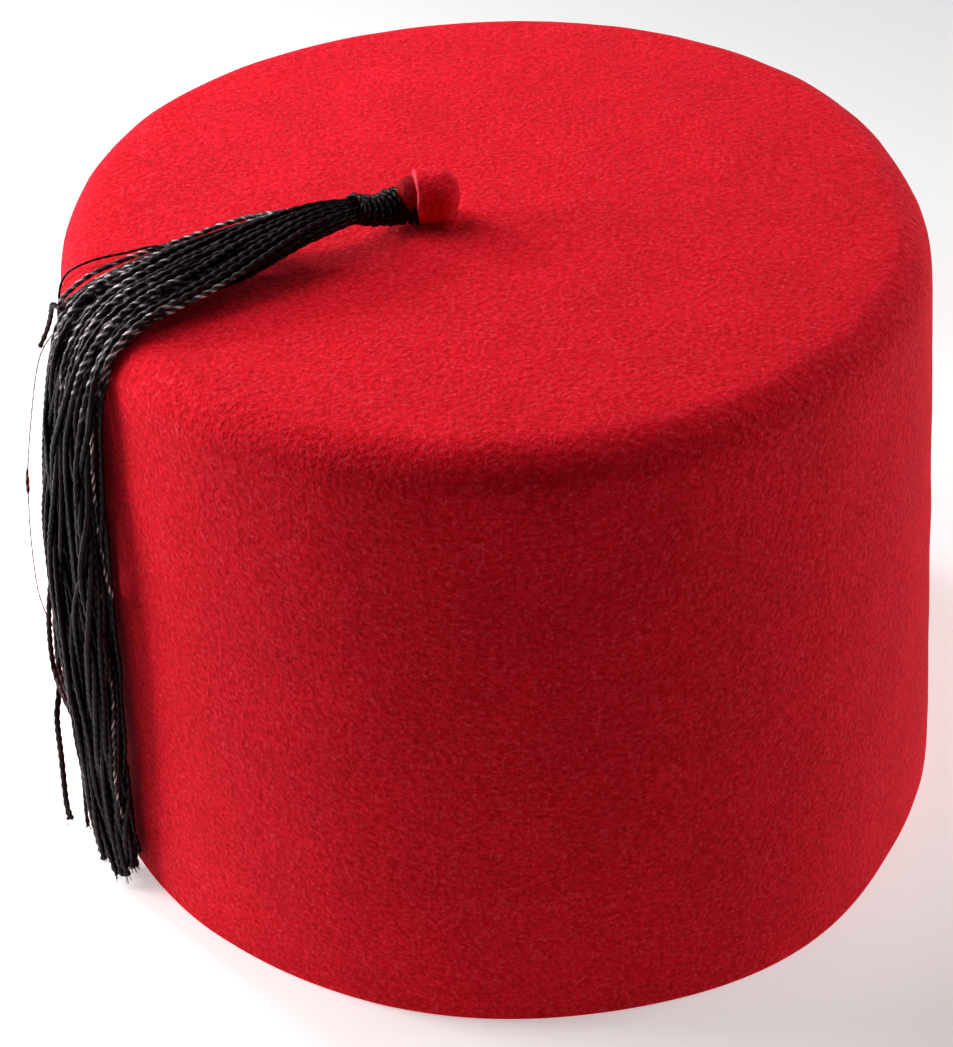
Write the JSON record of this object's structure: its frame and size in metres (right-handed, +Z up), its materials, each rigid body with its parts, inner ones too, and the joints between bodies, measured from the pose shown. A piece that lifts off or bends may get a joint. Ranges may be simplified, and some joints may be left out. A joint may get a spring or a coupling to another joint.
{
  "type": "fez hat",
  "caption": "Brimless felt hat with a flat top and near-upright hollow wall, and a black corded tassel bound to a felt stem on the top and hanging over one side.",
  "frame": {"origin": "middle of the hat's plan, tassel included, in the plane of the cut rim that it rests on", "axes": "+Z up out of the flat top, -Y towards the front as pictured, -X towards the side where the tassel hangs"},
  "size_m": [0.183, 0.187, 0.1386],
  "materials": {
    "red_felt": "dense matt wool felt with a fine grain and a short nap",
    "black_cord": "twisted black rayon cord with a silky shine"
  },
  "bodies": {
    "root": {"crown": "red_felt", "felt_stub": "red_felt", "tassel_binding": "black_cord", "tassel": "black_cord"}
  },
  "joints": []
}
